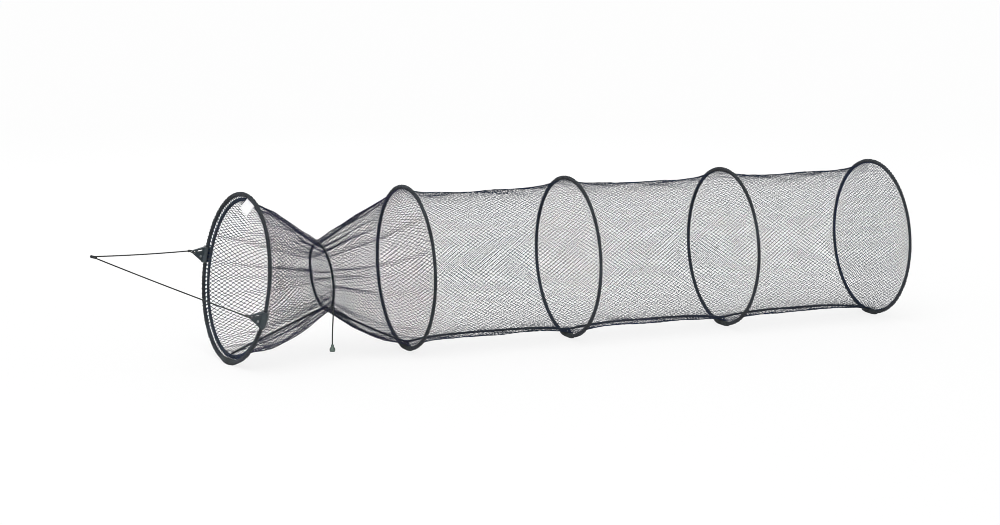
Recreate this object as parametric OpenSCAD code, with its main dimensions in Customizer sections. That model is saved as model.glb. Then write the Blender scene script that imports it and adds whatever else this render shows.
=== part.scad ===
// Collapsible round keep net for fishing, 350 mm across and 1.5 m long.
// Five bound hoops carry a tube of knotless net with a drawn-in neck, a flat
// closed end, and a cord bridle on two moulded clips at the mouth.
// Sizes are in millimetres. X runs from the mouth to the closed end, Y across,
// Z up. The joint sleeves of the hoops stand on the plane Z = 0, and the
// origin lies there below the second body hoop, the middle one of the five.

/* [Hoops] */
// Diameter of a body hoop over its binding
hoop_d = 350; // [320:1:400]
// Distance from hoop to hoop along the tube
bay = 375; // [340:1:420]
// Diameter of the steel rod inside each hoop
rod_d = 4; // [3:0.1:5]
// Diameter of the cord binding round the rod
bind_d = 8.4; // [7.6:0.1:9]
// Diameter of the hitches that lash the net to the binding
hitch_d = 10.4; // [10:0.1:11]
// Length of one hitch along the hoop
hitch_w = 5; // [3:0.5:8]
// Diameter of the sleeve over each hoop's joint
sleeve_d = 11; // [10.4:0.1:12]
// How far the sleeve's thick side sits outside the rod's centre line
sleeve_out = 1.2; // [1:0.1:1.4]
// Half of the arc that a joint sleeve covers, in degrees
sleeve_arc = 10; // [9:0.5:12]
// Half width of the flat that a hoop stands on
foot_half = 24; // [18:1:26]

/* [Mouth] */
// Diameter of the mouth hoop over its binding
mouth_d = 357; // [330:1:410]
// Diameter of the mouth hoop's binding
mouth_bind_d = 10; // [9:0.1:10.4]
// Lean of the mouth's top towards the closed end, in degrees
mouth_lean = 7; // [0:0.5:8]
// Turn of the mouth about the vertical, in degrees
mouth_turn = 4.5; // [0:0.5:5]
// Diameter of the sleeve over the mouth hoop's joint
mouth_sleeve_d = 14; // [12.4:0.1:15]
// How much smaller the hem cord's ring is than the hoop's, in radius
hem_in = 12; // [11:0.5:14]
// How far the hem cord lies behind the hoop
hem_back = 6; // [5:0.5:7]
// Diameter of the hem cord
hem_d = 5; // [4:0.1:5.5]
// Number of lacing loops between the mouth hoop and the hem cord
hem_loops = 36; // [24:1:40]

/* [Neck] */
// Distance from the mouth hoop to the drawn-in neck
neck_at = 187.5; // [170:0.5:205]
// Diameter of the drawcord's ring, on its centre line
neck_d = 143; // [120:1:170]
// Diameter of the drawcord
neck_cord_d = 5; // [4:0.1:6]
// Lean of the neck's top towards the mouth, in degrees
neck_lean = 5.5; // [0:0.5:7]
// How far the neck's centre sits below the hoops' centre
neck_drop = 7; // [0:0.5:12]
// Place of the drawcord's knot round the neck, degrees from the top
neck_knot_at = 222; // [215:1:230]
// Diameter of the drawcord's knot
neck_knot_d = 10; // [9:0.1:11]

/* [Net] */
// Meshes round the net
meshes_round = 18; // [12:6:24]
// Rows of knots in a bay between two body hoops, an even number
rows_bay = 8; // [6:2:12]
// Rows of knots in each cone at the neck, an even number
rows_cone = 4; // [2:2:6]
// Diameter of the net between two hoops, where it draws in
waist_d = 310; // [290:1:320]
// How far the mouth cone swells outside a straight cone
mouth_swell = 15; // [5:1:20]
// How far the throat cone swells outside a straight cone
throat_swell = 8; // [2:1:12]
// Half width of a knot of the net
knot_half = 1.9; // [1.4:0.1:2.1]
// Thickness of a strand of the net
strand_t = 2.2; // [1.6:0.1:2.4]
// Diameter of the seam rope along the bottom of the net
seam_d = 5; // [4:0.1:5]

/* [End net] */
// Pitch of the square meshes in the flat end
end_mesh = 19.5; // [18:0.5:30]
// Width of a strand in the flat end
end_strand = 2.2; // [1.6:0.1:3]
// Thickness of the flat end
end_t = 2; // [1.6:0.1:3]
// Width of the border round the flat end
end_border = 4; // [3:0.5:6]

/* [Clips] */
// Place of the near clip round the mouth, degrees from the top
near_clip_at = 249.5; // [245:0.5:262]
// Place of the far clip round the mouth, degrees from the top
far_clip_at = 81.5; // [75:0.5:90]
// Half of the arc that a clip's jaw covers, in degrees
jaw_arc = 5.6; // [5:0.1:6]
// Outside diameter of the jaw
jaw_d = 17; // [16:0.5:18]
// Distance from the hoop to the eye in the clip's nose
nose_at = 28; // [27:0.5:38]
// Radius of the clip's nose
nose_r = 4.6; // [4.4:0.1:4.8]
// Offset of the nose along the hoop
nose_up = 4; // [0:0.5:6]
// Radius of the eye in the nose
eye_r = 2.7; // [2.6:0.1:2.8]
// Thickness of the clip's plate
plate_t = 4; // [3.6:0.1:4.2]
// Height of the clip's raised edge above each face
edge_h = 1; // [0.6:0.1:1.4]
// Radius of the clip's rivet
rivet_r = 1.6; // [1.2:0.1:1.8]

/* [Bridle and tail] */
// Diameter of the bridle cord
bridle_d = 2.8; // [2.4:0.1:3]
// Radius of the loops through the clips' eyes
loop_r = 5.4; // [5.3:0.1:5.8]
// Diameter of the tail of the drawcord
tail_d = 3; // [2.4:0.1:3.5]
// Diameter of the bead on the tail
bead_d = 12; // [9:0.5:13]
// Length of the bead
bead_l = 15; // [12:0.5:16]

/* [Label] */
// Width of the bare cloth label, along the hem
label_w = 42; // [24:1:46]
// Length of the bare cloth label
label_l = 26; // [16:1:30]
// Thickness of the cloth label
label_t = 0.8; // [0.6:0.1:1.2]
// Place of the label round the mouth, degrees from the top to the near side
label_turn = 15; // [5:1:25]
// Lean of the label out of the mouth, in degrees
label_lean = 29; // [10:1:50]

/* [Hidden] */
$fn = 48;
gap = 0.3;                                   // clearance at a soft seat
fit = 0.05;                                  // clearance round the rod
hoop_c = (hoop_d - bind_d) / 2;              // rod's centre line, body hoop
mouth_c = (mouth_d - mouth_bind_d) / 2;      // rod's centre line, mouth hoop
sleeve_reach = hoop_c + sleeve_out + sleeve_d / 2;
axis_z = sqrt(sleeve_reach * sleeve_reach - foot_half * foot_half);
mouth_reach = mouth_c + mouth_sleeve_d / 2;
mouth_z = sqrt(mouth_reach * mouth_reach - foot_half * foot_half) - mouth_c * (1 - cos(mouth_lean));
mouth_x = -2 * bay;                          // places of the five hoops
hoop_x = [-bay, 0, bay, 2 * bay];
neck_x = mouth_x + neck_at;
neck_r = neck_d / 2;
neck_z = axis_z - neck_drop;

// The net's ends: beside a hoop, behind the hem cord and under the drawcord
net_off = hitch_d / 2 + 2 * gap;
net_end_r = hoop_c - net_off;
net_neck_off = knot_half + gap;
net_neck_r = neck_r - neck_cord_d / 2 - gap - strand_t / 2;
hem_r = mouth_c - hem_in;
hem_step = hem_d / 2 + knot_half + 2 * gap;  // from the hem cord to the net
net_hem_off = hem_back + 0.88 * hem_step;
net_hem_r = hem_r - 0.47 * hem_step;
lace_half = 0.7;                             // half width of the hem's lacing
lace_t = 1.4;
lace_run = [hem_back, -hem_in] / norm([hem_back, hem_in]);

// The seam rope runs just inside the net
seam_in = strand_t / 2 + gap + seam_d / 2;
seam_end_r = hoop_c - hitch_d / 2 - gap - seam_d / 2;
seam_steps = [0, 0.03, 0.08, 0.2, 0.5, 0.8, 0.92, 0.97, 1];
seam_at = 180;

// The bridle: eyes of the clips, apex, and the line between the eyes
eye_near = at_mouth_pt(clip_pt(near_clip_at, nose_up));
eye_far = at_mouth_pt(clip_pt(far_clip_at, -nose_up));
apex = [-1062, -31, 246];
hinge_dir = unit(eye_far - eye_near);
bridle_knot_r = 3.5;
bridle_knot_l = 14;
tie_r = 2.7;

// The tail's route from the drawcord's knot down to its bead
tail_route = [[-556.9, -53.1, 104.9], [-557.3, -54, 98], [-558.3, -55.3, 88],
              [-559.3, -56.3, 77], [-560.2, -57, 66], [-560.9, -57.5, 55],
              [-561.2, -57.6, 44], [-561.2, -57.6, 34.5]];

function unit(v) = v / norm(v);
function mix(a, b, s) = a + (b - a) * s;
function turned(p, lean, turn) = let (
    x = p[0] * cos(lean) + p[2] * sin(lean), z = p[2] * cos(lean) - p[0] * sin(lean))
    [x * cos(turn) - p[1] * sin(turn), x * sin(turn) + p[1] * cos(turn), z];
function at_mouth_pt(p) = [mouth_x, 0, mouth_z] + turned(p, mouth_lean, mouth_turn);

// A point of the mouth's own frame, beyond a clip's place on the hoop
function clip_pt(th, up) = let (t = [0, cos(th), -sin(th)], r = [0, sin(th), cos(th)])
    [-nose_at, 0, 0] + mouth_c * r + up * t;

// Rings of the net: [centre, lean, turn, offset along the axis, radius]
mouth_end = [[mouth_x, 0, mouth_z], mouth_lean, mouth_turn];
neck_end = [[neck_x, 0, neck_z], -neck_lean, 0];
function hoop_end(x) = [[x, 0, axis_z], 0, 0];

// A panel of net or a span of seam rope runs from ring a to ring b. Its radius
// goes from a's to b's and swells by "swell", blunter with a higher power.
function span(a, a_off, a_r, b, b_off, b_r, swell, power) =
    [a, a_off, a_r, b, b_off, b_r, swell, power];
function span_r(p, s) = mix(p[2], p[5], s) + p[6] * (1 - pow(abs(2 * s - 1), p[7]));
function span_run(p) = [norm(p[3][0] - p[0][0]) + p[4] - p[1], p[5] - p[2]];

// Point of a span at its share "s", "th" degrees from the top, lifted by "h"
function span_pt(p, s, th, h) = let (
    lift = h * unit([-span_run(p)[1], span_run(p)[0]]),
    r = span_r(p, s) + lift[1],
    c = mix(p[0][0], p[3][0], s),
    lean = mix(p[0][1], p[3][1], s),
    turn = mix(p[0][2], p[3][2], s))
    c + turned([mix(p[1], p[4], s) + lift[0], r * sin(th), r * cos(th)], lean, turn);

mouth_panel = span(mouth_end, net_hem_off, net_hem_r, neck_end, -net_neck_off, net_neck_r,
                   mouth_swell, 2);
throat_panel = span(neck_end, net_neck_off, net_neck_r, hoop_end(hoop_x[0]), -net_off,
                    net_end_r, throat_swell, 2);
function bay_panel(i) = span(hoop_end(hoop_x[i]), net_off, net_end_r,
    hoop_end(hoop_x[i + 1]), -net_off, net_end_r, waist_d / 2 - net_end_r, 6);

mouth_seam = span(mouth_end, hem_back, hem_r - hem_d / 2 - gap - seam_d / 2,
                  neck_end, -gap / 2, net_neck_r - 1.6 * seam_in, mouth_swell - 1.5, 2);
throat_seam = span(neck_end, gap / 2, net_neck_r - 1.6 * seam_in,
                   hoop_end(hoop_x[0]), -gap / 2, seam_end_r, throat_swell - 3, 2);
function bay_seam(i) = span(hoop_end(hoop_x[i]), gap / 2, seam_end_r, hoop_end(hoop_x[i + 1]),
    i == 2 ? -end_t / 2 - gap : -gap / 2, seam_end_r, waist_d / 2 - seam_in - seam_end_r, 6);

// Frame of the mouth hoop: X along its axis, the rest as in the whole net
module at_mouth() {
    translate([mouth_x, 0, mouth_z]) rotate([0, mouth_lean, mouth_turn]) children();
}

// A stretch of ring about X, centred "th" degrees from the top, whose
// section is drawn with X outwards and Y along the ring's axis
module arc(r, th, half) {
    rotate([0, 90, 0]) rotate([0, 0, 180 - th - half])
        rotate_extrude(angle = 2 * half, $fn = 96) translate([r, 0]) children();
}

module ring(r) {
    rotate([0, 90, 0]) rotate_extrude($fn = 96) translate([r, 0]) children();
}

module rod(r) {
    color("dimgray") ring(r) circle(d = rod_d);
}

// Cord bound round the rod, with a hitch at every mesh of the net
module binding(r, d, hitch) {
    color("darkslategray") union() {
        ring(r) difference() {
            circle(d = d);
            circle(d = rod_d + 2 * fit);
        }
        for (th = [0:360 / meshes_round:359]) if (abs(th - 180) > sleeve_arc)
            arc(r, th, hitch_w / r * 90 / PI) difference() {
                circle(d = hitch);
                circle(d = rod_d + 4 * fit);
            }
    }
}

module floor_cut() {
    translate([0, 0, -50]) cube([80, 160, 100], center = true);
}

// Moulded sleeve over the hoop's joint, thick outside, cut flat at the floor
module hoop_sleeve(x) {
    color("black") difference() {
        translate([x, 0, axis_z]) arc(hoop_c, 180, sleeve_arc) difference() {
            translate([sleeve_out, 0]) circle(d = sleeve_d);
            circle(d = bind_d + 2 * fit);
        }
        translate([x, 0, 0]) floor_cut();
    }
}

// Section towards the hem, left open for its lacing
module hem_side() {
    polygon([[0, 0], [-20, -2], [-20, 22], [-4, 22]]);
}

module mouth_sleeve() {
    color("black") difference() {
        at_mouth() arc(mouth_c, 180, sleeve_arc) difference() {
            circle(d = mouth_sleeve_d);
            circle(d = mouth_bind_d + 2 * fit);
            hem_side();
        }
        translate([mouth_x - mouth_c * sin(mouth_lean), 0, 0]) floor_cut();
    }
}

// Diamond net between two rings. Each knot has four outer corners and one
// inner point, and each strand is a three-sided bar between two knots.
module net_panel(p, n, rows, half, t) {
    ds = half / norm(span_run(p));
    pts = [for (j = [0:rows]) for (i = [0:n - 1]) let (
        s = j / rows,
        th = (i + (j % 2) / 2) * 360 / n,
        dth = half / span_r(p, s) * 180 / PI)
        each [span_pt(p, s + ds, th, t / 2), span_pt(p, s - ds, th, t / 2),
              span_pt(p, s, th + dth, t / 2), span_pt(p, s, th - dth, t / 2),
              span_pt(p, s, th, -t / 2)]];
    function at(i, j, k) = (j * n + (i + n) % n) * 5 + k;
    function quad(a, b, c, d) = [[a, b, c], [a, c, d]];
    faces = [for (j = [0:rows]) for (i = [0:n - 1]) let (
        e = at(i, j, 0), w = at(i, j, 1), u = at(i, j, 2), d = at(i, j, 3), c = at(i, j, 4),
        iu = i + j % 2, id = i + j % 2 - 1)
        each concat(
            quad(u, w, d, e),
            j == rows ? [[d, c, e], [e, c, u]] : concat(
                quad(e, at(iu, j + 1, 3), at(iu, j + 1, 1), u),
                quad(at(iu, j + 1, 3), e, c, at(iu, j + 1, 4)),
                quad(u, at(iu, j + 1, 1), at(iu, j + 1, 4), c),
                quad(d, at(id, j + 1, 1), at(id, j + 1, 2), e),
                quad(e, at(id, j + 1, 2), at(id, j + 1, 4), c),
                quad(at(id, j + 1, 1), d, c, at(id, j + 1, 4))),
            j == 0 ? [[u, c, w], [w, c, d]] : [])];
    color("slategray") polyhedron(pts, faces, convexity = 12);
}

// Cord swept along a list of points, eight sides. Its ends are square to it,
// or to the direction "ends"
module cord(route, d, across, ends) {
    n = len(route);
    sides = 8;
    pts = [for (i = [0:n - 1]) let (
        t = is_undef(ends) || (i > 0 && i < n - 1)
            ? unit(route[min(i + 1, n - 1)] - route[max(i - 1, 0)]) : ends,
        u = unit(cross(t, across)), v = cross(u, t))
        for (k = [0:sides - 1]) route[i] + d / 2 * (cos(45 * k) * u + sin(45 * k) * v)];
    faces = concat(
        [[for (k = [0:sides - 1]) k]],
        [for (i = [0:n - 2]) for (k = [0:sides - 1]) let (m = (k + 1) % sides)
            each [[i * sides + k, (i + 1) * sides + k, (i + 1) * sides + m],
                  [i * sides + k, (i + 1) * sides + m, i * sides + m]]],
        [[for (k = [sides - 1:-1:0]) (n - 1) * sides + k]]);
    polyhedron(pts, faces, convexity = 4);
}

module seam(p) {
    color("black")
        cord([for (s = seam_steps) span_pt(p, s, seam_at, 0)], seam_d, [0, 1, 0], [1, 0, 0]);
}

module mouth_rod() {
    at_mouth() rod(mouth_c);
}

module mouth_binding() {
    at_mouth() color("darkslategray") ring(mouth_c) difference() {
        circle(d = mouth_bind_d);
        circle(d = rod_d + 2 * fit);
    }
}

module hem_cord() {
    color("darkslategray") at_mouth() translate([hem_back, 0, 0]) ring(hem_r) circle(d = hem_d);
}

// Zigzag lacing that holds the hem cord to the bound hoop
module hem_lacing() {
    from = (mouth_bind_d / 2 + gap + lace_half) * lace_run;
    to = [hem_back, -hem_in] - (hem_d / 2 + gap + lace_half) * lace_run;
    net_panel(span(mouth_end, from[0], mouth_c + from[1], mouth_end, to[0], mouth_c + to[1], 0, 2),
              hem_loops, 1, lace_half, lace_t);
}

// Convex outline round circles [x, y, r] given anticlockwise, with its
// corners as short chords
function side_angle(a, b) = let (v = [b[0] - a[0], b[1] - a[1]])
    atan2(v[1], v[0]) - acos((a[2] - b[2]) / norm(v));
function corner(a, c, b, steps) = let (
    from = side_angle(a, c), by = (side_angle(c, b) - from + 720) % 360)
    [for (k = [0:steps]) let (w = from + by * k / steps) [c[0] + c[2] * cos(w), c[1] + c[2] * sin(w)]];

module rounded(c, grow = 0) {
    g = [for (q = c) [q[0], q[1], q[2] + grow]];
    n = len(g);
    polygon([for (i = [0:n - 1]) each corner(g[(i + n - 1) % n], g[i], g[(i + 1) % n], 10)]);
}

clip_outline = [[-5, -13, 4], [-5, 12.5, 4], [-nose_at, nose_up, nose_r]];
clip_slot = [[-11.5, 9, 1.6], [-nose_at + 8.5, nose_up + 2.9, 1.6]];
rivet_at = [-12.6, -4];
boss_r = 3.6;

// Frame of a clip: X along the mouth's axis, Y along the hoop, Z outwards
module at_clip(th, side) {
    at_mouth() rotate([-th, 0, 0]) translate([0, 0, mouth_c])
        mirror([0, side < 0 ? 1 : 0, 0]) children();
}

// Three-cornered plate with a raised edge that stops short of the nose, a
// slot along its upper side, an eye in its nose and a boss for the rivet
module clip_plate() {
    difference() {
        union() {
            translate([0, 0, -plate_t / 2]) linear_extrude(plate_t) rounded(clip_outline);
            translate([0, 0, -plate_t / 2 - edge_h]) linear_extrude(plate_t + 2 * edge_h)
                difference() {
                    rounded(clip_outline);
                    rounded(clip_outline, -2);
                    translate([-nose_at, nose_up]) circle(r = 11);
                }
            translate([rivet_at[0], rivet_at[1], -plate_t / 2 - edge_h])
                cylinder(r = boss_r, h = plate_t + 2 * edge_h);
        }
        translate([-nose_at, nose_up, -10]) cylinder(r = eye_r, h = 20);
        translate([rivet_at[0], rivet_at[1], -10]) cylinder(r = rivet_r + fit, h = 20);
        translate([0, 0, -10]) linear_extrude(20) rounded(clip_slot);
    }
}

// Clip that grips the bound hoop: a C-shaped jaw swept along the hoop, open
// towards the hem's lacing, and the plate that grows out of it
module clip(th, side) {
    color([0.22, 0.30, 0.30]) union() {
        at_mouth() arc(mouth_c, th, jaw_arc) difference() {
            circle(d = jaw_d);
            circle(d = mouth_bind_d + 2 * fit);
            hem_side();
        }
        difference() {
            at_clip(th, side) clip_plate();
            at_mouth() ring(mouth_c) circle(d = (mouth_bind_d + jaw_d) / 2);
        }
    }
}

module clip_rivets() {
    for (c = [[near_clip_at, 1], [far_clip_at, -1]])
        color("silver") at_clip(c[0], c[1]) translate([rivet_at[0], rivet_at[1], 0]) {
            cylinder(r = rivet_r, h = plate_t + 2 * edge_h, center = true);
            for (m = [0, 1]) mirror([0, 0, m]) translate([0, 0, plate_t / 2 + edge_h])
                cylinder(r1 = rivet_r + 1.2, r2 = rivet_r + 0.4, h = 0.9);
        }
}

// Bare cloth label, sewn by its upper edge to the mouth's binding, near the
// top, and leaning out of the mouth
module label() {
    sag = mouth_c - sqrt(mouth_c * mouth_c - label_w * label_w / 4);
    color("white") at_mouth() rotate([label_turn, 0, 0]) translate([0, 0, mouth_c - sag])
        rotate([0, label_lean, 0])
        translate([-label_t / 2, -label_w / 2, -label_l - mouth_bind_d / 2 - gap])
            cube([label_t, label_w, label_l]);
}

// Cord loop through a clip's eye, closed by a knot, in line with its leg
module bridle_loop(eye) {
    g = unit(apex - eye);
    out = unit(g - (g * hinge_dir) * hinge_dir);
    n = cross(hinge_dir, out);
    c = eye + loop_r * out;
    color("dimgray") union() {
        multmatrix([[hinge_dir[0], out[0], n[0], c[0]], [hinge_dir[1], out[1], n[1], c[1]],
                    [hinge_dir[2], out[2], n[2], c[2]], [0, 0, 0, 1]])
            rotate_extrude() translate([loop_r, 0]) circle(d = bridle_d);
        translate(eye + (2 * loop_r + 1) * out) sphere(r = tie_r);
    }
}

module bridle_loops() {
    bridle_loop(eye_near);
    bridle_loop(eye_far);
}

function leg(eye) = let (
    g = unit(apex - eye), out = unit(g - (g * hinge_dir) * hinge_dir),
    a = eye + (2 * loop_r + 1) * out, t = unit(apex - a),
    p = a + (tie_r + gap) * t, q = apex - (bridle_knot_r + gap) * t)
    [for (s = [0:0.125:1]) mix(p, q, s) + [0, 0, -6 * s * (1 - s)]];

module bridle_cord() {
    color("dimgray") {
        cord(leg(eye_near), bridle_d, [0, 0, 1]);
        cord(leg(eye_far), bridle_d, [0, 0, 1]);
    }
}

// Knot where the two legs meet, along the middle line of the bridle
module bridle_knot() {
    back = unit((eye_near + eye_far) / 2 - apex);
    color("black") translate(apex) rotate([0, acos(back[2]), atan2(back[1], back[0])])
        rotate_extrude() polygon(concat(
            [[0, bridle_knot_r - bridle_knot_l], [0.5 * bridle_knot_r, bridle_knot_r - bridle_knot_l],
             [0.7 * bridle_knot_r, -0.5 * bridle_knot_l], [bridle_knot_r, -0.15 * bridle_knot_l]],
            [for (a = [0:15:90]) bridle_knot_r * [cos(a), sin(a)]]));
}

module neck_cord() {
    color("black") translate([neck_x, 0, neck_z]) rotate([0, -neck_lean, 0])
        ring(neck_r) circle(d = neck_cord_d);
}

knot_c = [neck_x, 0, neck_z] + turned([0, (neck_r + neck_cord_d / 2 + gap + neck_knot_d / 2)
    * sin(neck_knot_at), (neck_r + neck_cord_d / 2 + gap + neck_knot_d / 2) * cos(neck_knot_at)],
    -neck_lean, 0);

module neck_knot() {
    color("black") translate(knot_c) sphere(d = neck_knot_d);
}

module tail_cord() {
    color("dimgray") cord(tail_route, tail_d, [1, 0, 0]);
}

// Bell-shaped bead that closes the tail
module tail_bead() {
    end = tail_route[len(tail_route) - 1];
    r = bead_d / 2;
    color([0.40, 0.47, 0.44]) translate(end - [0, 0, gap]) mirror([0, 0, 1])
        rotate_extrude() polygon([[0, 0], [0.4 * r, 0], [0.55 * r, 0.1 * bead_l],
            [0.55 * r, 0.3 * bead_l], [0.8 * r, 0.45 * bead_l], [r, 0.6 * bead_l],
            [r, 0.88 * bead_l], [0.85 * r, bead_l], [0, bead_l]]);
}

// Flat net that closes the tube, meshes set on the diamond
module end_net() {
    r = hoop_c - hitch_d / 2 - gap;
    m = floor(r / end_mesh) + 1;
    color("slategray") translate([hoop_x[3] - end_t / 2, 0, axis_z]) rotate([45, 0, 0])
        rotate([0, 90, 0]) linear_extrude(end_t) difference() {
            circle(r = r);
            intersection() {
                circle(r = r - end_border);
                for (i = [-m:m]) for (j = [-m:m])
                    if (norm([i, j]) * end_mesh < r - end_border + end_mesh / 3)
                        translate([i * end_mesh, j * end_mesh])
                            square(end_mesh - end_strand, center = true);
            }
        }
}

module hoop_rod(x) {
    translate([x, 0, axis_z]) rod(hoop_c);
}

module hoop_binding(x) {
    translate([x, 0, axis_z]) binding(hoop_c, bind_d, hitch_d);
}

mouth_rod();
mouth_binding();
mouth_sleeve();
hem_cord();
hem_lacing();
clip(near_clip_at, 1);  // clip_near
clip(far_clip_at, -1);  // clip_far
clip_rivets();
label();
bridle_loops();
bridle_cord();
bridle_knot();
net_panel(mouth_panel, meshes_round, rows_cone, knot_half, strand_t);  // net_mouth
seam(mouth_seam);  // seam_mouth
neck_cord();
neck_knot();
tail_cord();
tail_bead();
net_panel(throat_panel, meshes_round, rows_cone, knot_half, strand_t);  // net_throat
seam(throat_seam);  // seam_throat
hoop_rod(hoop_x[0]);  // hoop_1_rod
hoop_binding(hoop_x[0]);  // hoop_1_binding
hoop_sleeve(hoop_x[0]);  // hoop_1_sleeve
net_panel(bay_panel(0), meshes_round, rows_bay, knot_half, strand_t);  // net_bay_1
seam(bay_seam(0));  // seam_bay_1
hoop_rod(hoop_x[1]);  // hoop_2_rod
hoop_binding(hoop_x[1]);  // hoop_2_binding
hoop_sleeve(hoop_x[1]);  // hoop_2_sleeve
net_panel(bay_panel(1), meshes_round, rows_bay, knot_half, strand_t);  // net_bay_2
seam(bay_seam(1));  // seam_bay_2
hoop_rod(hoop_x[2]);  // hoop_3_rod
hoop_binding(hoop_x[2]);  // hoop_3_binding
hoop_sleeve(hoop_x[2]);  // hoop_3_sleeve
net_panel(bay_panel(2), meshes_round, rows_bay, knot_half, strand_t);  // net_bay_3
seam(bay_seam(2));  // seam_bay_3
hoop_rod(hoop_x[3]);  // hoop_4_rod
hoop_binding(hoop_x[3]);  // hoop_4_binding
hoop_sleeve(hoop_x[3]);  // hoop_4_sleeve
end_net();
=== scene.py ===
"""Looks of a round collapsible keep net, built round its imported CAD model. Metres."""

import math

import bpy
import numpy as np
from mathutils import Matrix, Vector


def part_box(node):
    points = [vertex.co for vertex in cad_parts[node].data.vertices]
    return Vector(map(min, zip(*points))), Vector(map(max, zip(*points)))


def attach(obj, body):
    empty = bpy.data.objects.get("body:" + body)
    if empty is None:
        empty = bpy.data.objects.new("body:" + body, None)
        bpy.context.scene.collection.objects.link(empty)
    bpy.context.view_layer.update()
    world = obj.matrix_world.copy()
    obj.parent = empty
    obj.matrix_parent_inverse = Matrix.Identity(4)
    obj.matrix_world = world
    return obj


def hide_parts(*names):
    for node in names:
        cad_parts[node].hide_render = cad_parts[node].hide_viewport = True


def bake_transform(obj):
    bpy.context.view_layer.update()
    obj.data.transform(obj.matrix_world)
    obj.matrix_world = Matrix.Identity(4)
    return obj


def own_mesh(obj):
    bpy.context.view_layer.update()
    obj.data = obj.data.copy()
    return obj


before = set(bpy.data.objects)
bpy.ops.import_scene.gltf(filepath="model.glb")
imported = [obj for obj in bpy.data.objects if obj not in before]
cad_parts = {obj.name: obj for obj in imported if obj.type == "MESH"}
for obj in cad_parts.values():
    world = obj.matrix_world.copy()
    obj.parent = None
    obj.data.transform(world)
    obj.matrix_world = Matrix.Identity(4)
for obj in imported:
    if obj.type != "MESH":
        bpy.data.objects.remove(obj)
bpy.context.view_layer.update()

# The rings' leans are those of the CAD model. The bound cords' radii are the
# ones that show, a little thinner than its solids.
HOOPS = ("hoop_1", "hoop_2", "hoop_3", "hoop_4")
MOUTH_LEAN = math.radians(7)
MOUTH_TURN = math.radians(4.5)
NECK_LEAN = math.radians(-5.5)
HEM_BACK, HEM_IN, HEM_R = 0.006, 0.0108, 0.0027
BIND_R, LAST_BIND_R, MOUTH_BIND_R = 0.0036, 0.0032, 0.0039
SEAM_R, NECK_CORD_R = 0.0025, 0.0025
DRAWCORD_R = 0.0029

# The net: meshes round the tube, and the length and width of one bar of twine
MESHES_ROUND = 124
BAR_LENGTH = 0.0069
BAR_WIDTH, CONE_BAR_WIDTH, MOUTH_BAR_WIDTH = 0.00093, 0.00126, 0.00155
# Half the thickness of a knot and of a bar, as shares of the bar's width
KNOT_HIGH, BAR_HIGH = 0.38, 0.29
# Meshes gather this many times more closely in a crease, over this angle
GATHER, GATHER_WIDTH = 1.9, 0.034

# Points of the CAD model's cord routes, in metres
APEX = np.array([-1.062, -0.031, 0.246])
TAIL_ROUTE = np.array([
    [-0.5569, -0.0531, 0.1049], [-0.5573, -0.054, 0.098], [-0.5583, -0.0553, 0.088],
    [-0.5593, -0.0563, 0.077], [-0.5602, -0.057, 0.066], [-0.5609, -0.0575, 0.055],
    [-0.5612, -0.0576, 0.044], [-0.5612, -0.0576, 0.0345],
])
BRIDLE_R, TAIL_R = 0.0014, 0.0015
LOOP_R = 0.0054
# Where each clip is, its angle on the mouth and its eye's shift along the
# hoop, and how far ahead of the hoop the eyes are
CLIPS = {"near": (math.radians(249.5), 0.004), "far": (math.radians(81.5), -0.004)}
NOSE_AT = 0.028


TURN = 2 * math.pi
UP = np.array([0, 0, 1])


def circle(count):
    """Angles at even steps round a circle."""
    return np.linspace(0, TURN, count, endpoint=False)


def wrapped(angle):
    """The same angle, between half a turn back and half a turn ahead."""
    return (angle + math.pi) % TURN - math.pi


def unit(v):
    return v / np.linalg.norm(v, axis=-1, keepdims=True)


def mix(a, b, s):
    return a + (b - a) * s


def new_object(name, data):
    """An object in the scene with this mesh, lamp or camera."""
    made = bpy.data.objects.new(name, data)
    bpy.context.scene.collection.objects.link(made)
    return made


def steps_along(path):
    """Lengths of the steps from each point of a path to the next."""
    return np.linalg.norm(np.diff(path, axis=0), axis=1)


def running(steps):
    """Running total of steps, from 0."""
    return np.concatenate([[0], np.cumsum(steps)])


def turned(p, lean, turn):
    """Points leant about Y and then turned about Z."""
    x = p[..., 0] * np.cos(lean) + p[..., 2] * np.sin(lean)
    z = p[..., 2] * np.cos(lean) - p[..., 0] * np.sin(lean)
    y = x * np.sin(turn) + p[..., 1] * np.cos(turn)
    return np.stack([x * np.cos(turn) - p[..., 1] * np.sin(turn), y, z], -1)


class Ring:
    """A ring across the tube. Angles run from its top towards +Y."""

    def __init__(self, node, rod_r, lean=0.0, turn=0.0):
        low, high = (np.array(v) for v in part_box(node))
        self.centre = (low + high) / 2
        self.lean, self.turn = lean, turn
        across = math.sqrt(1 - (math.cos(lean) * math.sin(turn)) ** 2)
        self.r = ((high - low)[1] / 2 - rod_r) / across

    def at(self, off, r, th):
        """Points off along the axis, r from it, at the angle th."""
        off, r, th = np.broadcast_arrays(off, r, th)
        p = np.stack([off, r * np.sin(th), r * np.cos(th)], -1)
        return self.centre + turned(p, self.lean, self.turn)


ROD_R = (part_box("hoop_1_rod")[1][0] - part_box("hoop_1_rod")[0][0]) / 2
hoops = [Ring(f"{h}_rod", ROD_R) for h in HOOPS]
mouth = Ring("mouth_rod", ROD_R, MOUTH_LEAN, MOUTH_TURN)
neck = Ring("neck_cord", NECK_CORD_R, NECK_LEAN)


# Camera, first, because the cords are measured against its view
CAMERA_AT = (-2.581, -5.756, 1.162)
CAMERA_AZIMUTH = math.radians(22.82)
CAMERA_DOWN = math.radians(9)
CAMERA_ROLL = math.radians(-0.09)
CAMERA_LENS = 106.4


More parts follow.
